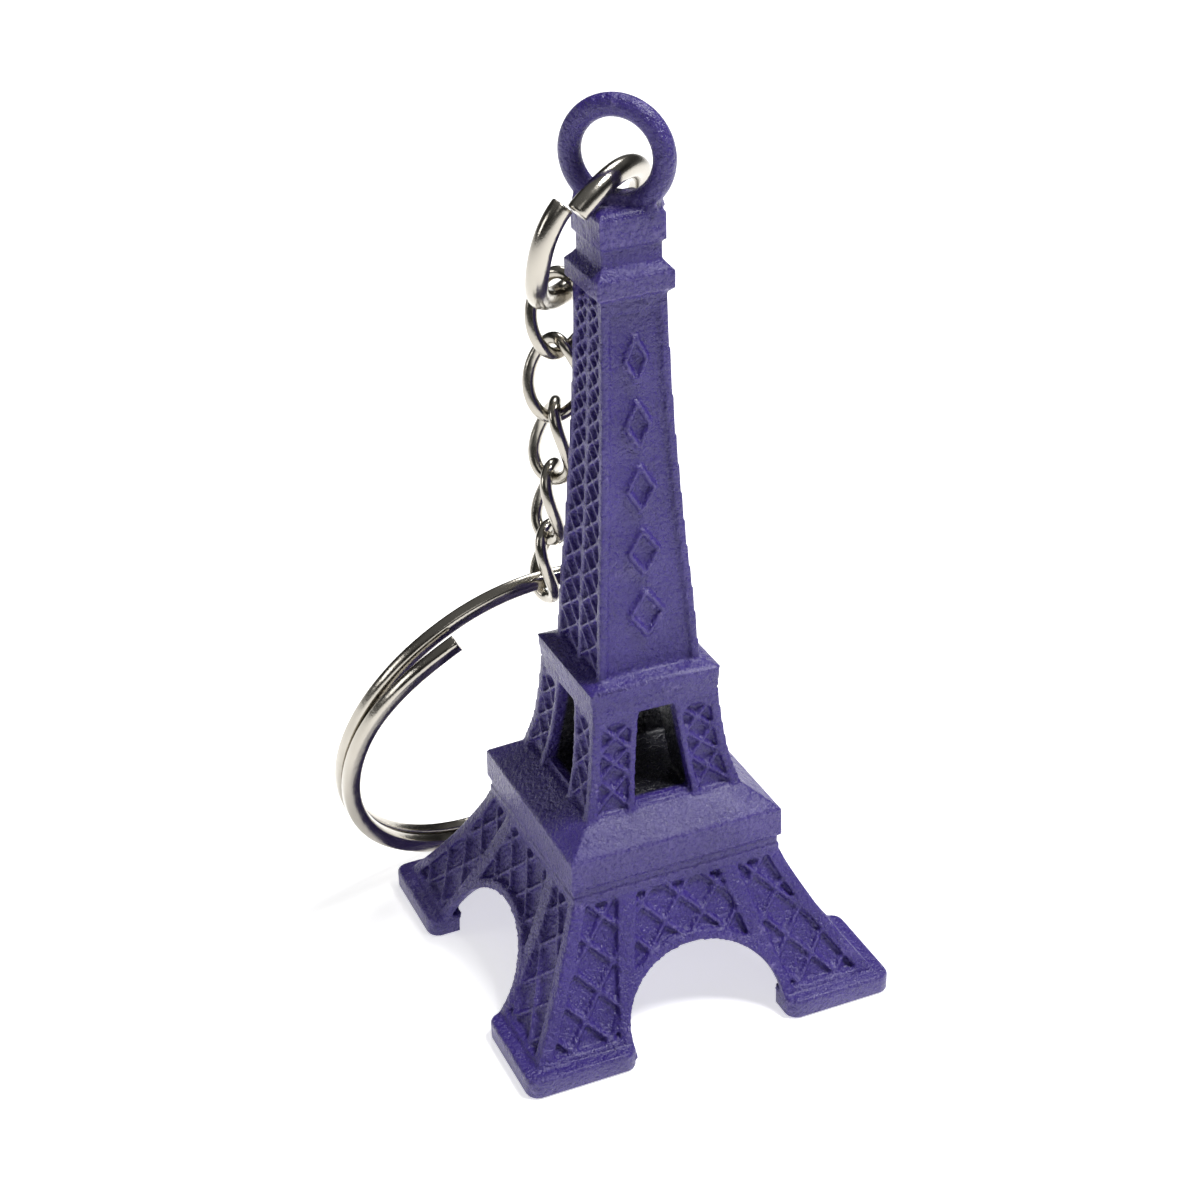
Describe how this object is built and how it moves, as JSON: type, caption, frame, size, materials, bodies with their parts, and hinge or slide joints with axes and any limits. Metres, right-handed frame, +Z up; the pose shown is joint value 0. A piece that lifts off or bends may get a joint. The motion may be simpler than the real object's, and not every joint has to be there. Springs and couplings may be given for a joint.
{
  "type": "keychain",
  "caption": "Lattice-tower souvenir keychain: a cast tower charm with a ring loop, an open jump ring, a short twisted chain and a two-turn split ring for keys.",
  "frame": {"origin": "middle of the base of the whole assembly's box, on the surface the tower stands on", "axes": "+Z up along the tower; -Y and -X are the two tower faces seen from the front left; the split ring stands behind the tower, on +Y"},
  "size_m": [0.0258, 0.0252, 0.0505],
  "materials": {
    "painted_casting": "satin violet lacquer over a die casting",
    "nickel_wire": "polished nickel plate"
  },
  "bodies": {
    "tower": {"tower": "painted_casting"},
    "jump_ring": {"jump_ring": "nickel_wire"},
    "chain_link_1": {"chain_link_1": "nickel_wire"},
    "chain_link_2": {"chain_link_2": "nickel_wire"},
    "chain_link_3": {"chain_link_3": "nickel_wire"},
    "chain_link_4": {"chain_link_4": "nickel_wire"},
    "chain_link_5": {"chain_link_5": "nickel_wire"},
    "split_ring": {"split_ring": "nickel_wire"}
  },
  "joints": [
    {"name": "jump_ring_swing", "type": "hinge", "parent": "tower", "child": "jump_ring", "pos_m": [0.00194, -0.00159, 0.04745], "axis": [0.7071, 0.7071, 0], "range_deg": [0, 135]},
    {"name": "link_1_swing", "type": "hinge", "parent": "jump_ring", "child": "chain_link_1", "pos_m": [0.0001, 0.00175, 0.03935], "axis": [0.829, 0.5592, 0], "range_deg": [0, 45]},
    {"name": "link_2_swing", "type": "hinge", "parent": "chain_link_1", "child": "chain_link_2", "pos_m": [-0.00005, 0.00213, 0.03594], "axis": [0.9705, 0.2405, -0.0171], "range_deg": [0, 45]},
    {"name": "link_3_swing", "type": "hinge", "parent": "chain_link_2", "child": "chain_link_3", "pos_m": [-0.00022, 0.00255, 0.03215], "axis": [0.9962, -0.0693, -0.0525], "range_deg": [0, 45]},
    {"name": "link_4_swing", "type": "hinge", "parent": "chain_link_3", "child": "chain_link_4", "pos_m": [-0.00039, 0.00296, 0.02836], "axis": [0.6648, -0.7387, -0.1115], "range_deg": [0, 45]},
    {"name": "link_5_swing", "type": "hinge", "parent": "chain_link_4", "child": "chain_link_5", "pos_m": [-0.00056, 0.00338, 0.02457], "axis": [0.4018, -0.908, -0.1183], "range_deg": [0, 45]},
    {"name": "split_ring_swing", "type": "hinge", "parent": "chain_link_5", "child": "split_ring", "pos_m": [-0.00073, 0.0038, 0.02078], "axis": [0.304, -0.9453, -0.1181], "range_deg": [0, 45]}
  ]
}
